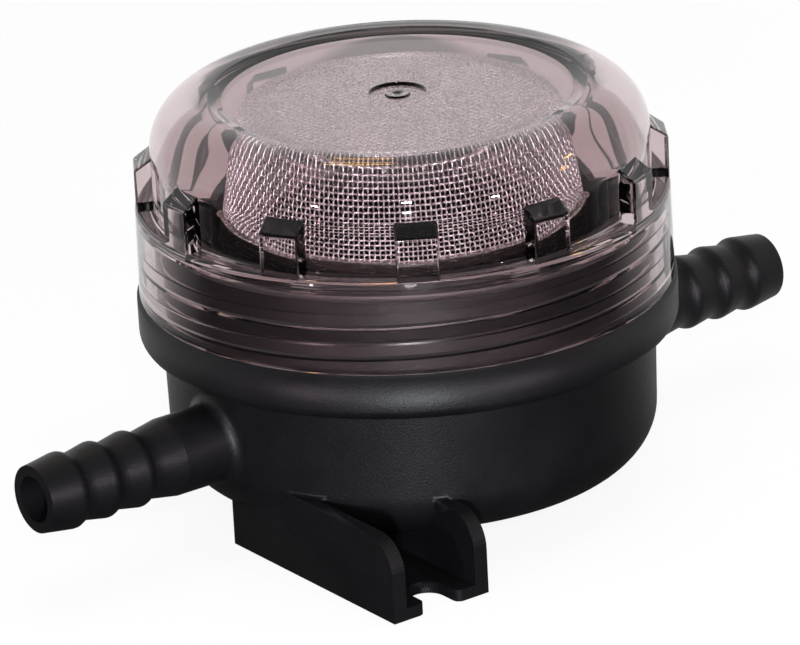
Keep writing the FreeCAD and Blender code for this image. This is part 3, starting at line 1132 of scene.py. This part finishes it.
    def cloth(self, name: str, lines: Sequence[np.ndarray], closed: bool,
              material: Material) -> None:
        """Draws a set of wires as one piece.

        Args:
            name: the piece's name.
            lines: the wires' middle lines in millimetres.
            closed: True for hoops.
            material: its finish.
        """
        curve = bpy.data.curves.new(name, "CURVE")
        curve.dimensions = "3D"
        curve.bevel_depth = self.wire / 2 * MM
        curve.bevel_resolution = 1
        curve.use_fill_caps = True
        turn = turned(self.turn)
        for line in lines:
            spline = curve.splines.new("POLY")
            spline.points.add(len(line) - 1)
            spline.use_cyclic_u = closed
            for point, place in zip(spline.points, line):
                point.co = (*(turn @ Vector(place)) * MM, 1.0)
        holder = linked(name + "_line", curve)
        mesh = made_mesh(holder)
        bpy.data.objects.remove(holder)
        piece = linked(name, mesh)
        dress(piece, material, self.sharp, level=False)
        place_piece(piece, Body.HOUSING, Slot.STAINLESS_MESH, "screen_mesh")

    def build(self, wire: Material, steel: Material) -> None:
        """Weaves the wall and the top and dresses the rim.

        Args:
            wire: the wires' finish.
            steel: the rim's finish.
        """
        self.cloth("wire_wall_uprights", self.uprights(), False, wire)
        self.cloth("wire_wall_hoops", self.hoops(), True, wire)
        self.cloth("wire_top_disc", self.disc(), False, wire)
        rim = carried_over("screen_rim", "screen_band", steel)
        place_piece(rim, Body.HOUSING, Slot.STAINLESS, "screen_rim")


@dataclass
class Seals:
    """The cover's round seal and the flat gasket under the screen.

    Attributes:
        sharp: edges sharper than this many degrees stay sharp.
    """

    sharp: float = SHARP

    def build(self, material: Material) -> None:
        """Dresses copies of both CAD seals.

        Args:
            material: the rubber's finish.
        """
        for node, name, body in (("cover_seal", "cover_ring_seal", Body.SEAL),
                                 ("screen_gasket", "screen_flat_gasket", Body.HOUSING)):
            seal = carried_over(node, name, material, self.sharp)
            place_piece(seal, body, Slot.SEAL_RUBBER, node)


# ---------------------------------------------------------------- studio

@dataclass(frozen=True)
class Lamp:
    """A soft rectangular lamp that faces the strainer.

    Attributes:
        name: the lamp's name.
        azimuth, elevation: where it hangs, in degrees.
        distance, width, height: its distance and size in metres.
        power: its power in watts.
        colour: its colour.
        mirrored: True if gloss and clear plastic show it.
    """

    name: str
    azimuth: float
    elevation: float
    distance: float
    width: float
    height: float
    power: float
    colour: Colour = (1.0, 1.0, 1.0)
    mirrored: bool = True

    def build(self, target: Vector) -> None:
        """Hangs the lamp round a target.

        Args:
            target: the place that it faces.
        """
        data = bpy.data.lights.new(self.name, "AREA")
        data.shape = "RECTANGLE"
        data.size, data.size_y = self.width, self.height
        data.energy = self.power
        data.color = self.colour
        lamp = linked(self.name, data)
        lamp.visible_glossy = lamp.visible_transmission = self.mirrored
        back = outwards(self.azimuth, self.elevation)
        lamp.location = target + back * self.distance
        lamp.rotation_euler = back.to_track_quat("Z", "Y").to_euler()


@dataclass
class Studio:
    """Pale floor, white surroundings that dim towards the front, soft lamps and the camera.

    Attributes:
        floor_size, floor_drop: the floor's width, and its depth under the feet, in metres.
        floor_grain, floor_tones, floor_rough, floor_gloss: its finish.
        whiteness: share of plain white in it where it is seen directly.
        dimness, fill: grey of the dim front, of the painted shade under the strainer and of the
            painted shadow behind it, and strength of the surroundings' light.
        floor_front, floor_painted_shadow: ramps that dim the floor in gloss and through the cover,
            over the scaled distance to the front and to either side; the first dims the front and
            paints shade on the floor under the strainer, the second paints the strainer's shadow in
            a strip behind it.
        sky_front, sky_height: ramps that dim the surroundings in gloss, to the front and up.
        azimuth, elevation, roll: the camera's angles in degrees.
        distance, aim, offset: where it stands, in metres.
        lens, sensor, shift, clip: its lens and frame.
        lamp_aim, lamps: the place that the lamps face, and the lamps.
    """

    floor_size: float = 12.0
    floor_drop: float = 0.0002
    floor_grain: Grain = Grain(0.25, 2.0, 0.5)
    floor_tones: Stops = ((0.3, 0.80), (0.7, 0.82))
    floor_rough: float = 0.85
    floor_gloss: float = 0.1
    whiteness: float = 0.90
    dimness: float = 0.06
    fill: float = 0.35
    front_scale: float = 4.0
    floor_front: Stops = ((0.10, 1.0), (0.55, 0.0))
    shadow_scale: float = 10.0
    floor_painted_shadow: Stops = ((0.20, 0.12), (0.36, 1.0))
    sky_front: Stops = ((0.44, 1.0), (0.66, 0.0))
    sky_height: Stops = ((0.35, 1.0), (0.85, 0.5))
    azimuth: float = -35.44
    elevation: float = 21.31
    roll: float = -2.99
    distance: float = 0.99876
    aim: Point3 = (0.0, 0.0, 0.0347)
    offset: Point2 = (0.000252, -0.006888)
    lens: float = 286.785
    sensor: float = 36.0
    shift: Point2 = (-0.010875, 0.000125)
    clip: Point2 = (0.05, 50.0)
    lamp_aim: Point3 = (0.0, 0.0, 0.035)
    lamps: tuple[Lamp, ...] = (
        Lamp("front", -34.0, 25.0, 1.05, 0.08, 0.08, 5.0, (0.90, 0.95, 1.0)),
        Lamp("low", -34.0, 3.5, 1.05, 0.06, 0.06, 13.0, (0.90, 0.95, 1.0)),
        Lamp("left", -75.0, 14.0, 1.05, 0.06, 0.06, 5.0, (1.0, 0.78, 0.85)),
        Lamp("right", 6.0, 14.0, 1.05, 0.06, 0.06, 4.5, (1.0, 0.78, 0.85)),
        Lamp("side", 62.0, 22.0, 1.1, 0.3, 0.6, 1.2, mirrored=False),
        Lamp("top", 0.0, 85.0, 1.2, 0.9, 0.9, 7.0, mirrored=False),
        Lamp("amber_back", 156.4, 61.0, 1.0, 0.17, 0.05, 0.3, (1.0, 0.62, 0.16)),
        Lamp("amber_right", 60.0, 36.5, 1.0, 0.09, 0.05, 0.3, (1.0, 0.62, 0.16)),
    )

    def floor(self) -> None:
        """Lays the floor: white where it is seen directly; in gloss or through the cover, dim
        towards the front, with painted shade under the strainer and a painted shadow in a strip
        behind it, and white elsewhere.
        """
        bm = bmesh.new()
        bmesh.ops.create_grid(bm, x_segments=1, y_segments=1, size=self.floor_size / 2)
        bmesh.ops.translate(bm, verts=bm.verts, vec=(0, 0, -self.floor_drop))
        material, net = Net.for_material("pale_floor")
        where = net.place()
        plain = net.add("ShaderNodeBsdfPrincipled", None, {
            "Base Color": net.ramp(net.noise(where, self.floor_grain), self.floor_tones),
            "Roughness": self.floor_rough, "Specular IOR Level": self.floor_gloss})
        white = net.glow(Glow.SURFACE, 1.0)
        dim = net.glow(Glow.SURFACE, self.dimness)
        direct, other = net.seen()
        ahead = outwards(self.azimuth)
        # Dim front: in gloss and through the cover the floor stands for a dark room in front, and
        # the ramp starts a little behind the strainer, so it paints shade on the floor under it.
        forward = net.along(where, tuple(ahead)) * self.front_scale + 0.5
        # Painted shadow: near the middle line the floor also stays dim behind the strainer, as its
        # shadow seen through the cover.
        aside = net.along(where, (-ahead.y, ahead.x, 0.0)).unsigned() * self.shadow_scale
        behind, shadow_strip = net.ramp(forward, self.floor_front), net.ramp(aside, self.floor_painted_shadow)
        shown = net.mixed(direct * self.whiteness, plain, white)
        mirrored = net.mixed(behind * shadow_strip, dim, white)
        net.add("ShaderNodeOutputMaterial", None, {"Surface": net.mixed(other, shown, mirrored)})
        finished("floor", bm, material)

    def world(self) -> None:
        """White surroundings for the camera, gloss and clear plastic, and a fill for the rest."""
        world = bpy.data.worlds.new("surroundings")
        bpy.context.scene.world = world
        world.use_nodes = True
        net = Net(world.node_tree)
        white = net.glow(Glow.SURROUNDINGS, 1.0)
        fill = net.glow(Glow.SURROUNDINGS, 1.0, self.fill)
        dim = net.glow(Glow.SURROUNDINGS, self.dimness)
        direct, other = net.seen()
        way = net.add("ShaderNodeTexCoord", output="Generated")
        forward = net.along(way, tuple(outwards(self.azimuth))) * 0.5 + 0.5
        low = net.ramp(net.along(way, UPWARDS), self.sky_height)
        mirrored = net.mixed(net.ramp(forward, self.sky_front) * low, dim, white)
        shown = net.mixed(direct, net.mixed(other, fill, mirrored), white)
        net.add("ShaderNodeOutputWorld", None, {"Surface": shown})

    def camera(self) -> None:
        """Stands the camera at the chosen angle."""
        back = outwards(self.azimuth, self.elevation)
        turn, roll = math.radians(self.azimuth), math.radians(self.roll)
        right = Vector((math.cos(turn), math.sin(turn), 0))
        up = back.cross(right)
        side = right * math.cos(roll) + up * math.sin(roll)
        head = up * math.cos(roll) - right * math.sin(roll)
        data = bpy.data.cameras.new("camera")
        data.sensor_width, data.lens = self.sensor, self.lens
        data.shift_x, data.shift_y = self.shift
        data.clip_start, data.clip_end = self.clip
        camera = linked("camera", data)
        aim = Vector(self.aim) + side * self.offset[0] + head * self.offset[1]
        facing = Matrix((side, head, back)).transposed().to_4x4()
        camera.matrix_world = Matrix.Translation(aim + back * self.distance) @ facing
        bpy.context.scene.camera = camera

    def build(self) -> None:
        """Sets up floor, surroundings, lamps and camera."""
        self.floor()
        self.world()
        for lamp in self.lamps:
            lamp.build(Vector(self.lamp_aim))
        self.camera()
        bpy.context.scene.view_settings.view_transform = "Standard"


def main() -> None:
    """Builds the studio and the strainer's pieces in order."""
    logging.basicConfig(level=logging.INFO, format="%(name)s: %(message)s")
    thread = Thread()
    Studio().build()
    Housing(thread).build(MouldedBlack().material())
    Seals().build(Rubber().material())
    Screen().build(WovenWire().material(), PressedSteel().material())
    Cover(thread).build(TintedClear().material())


if __name__ == "__main__":
    main()
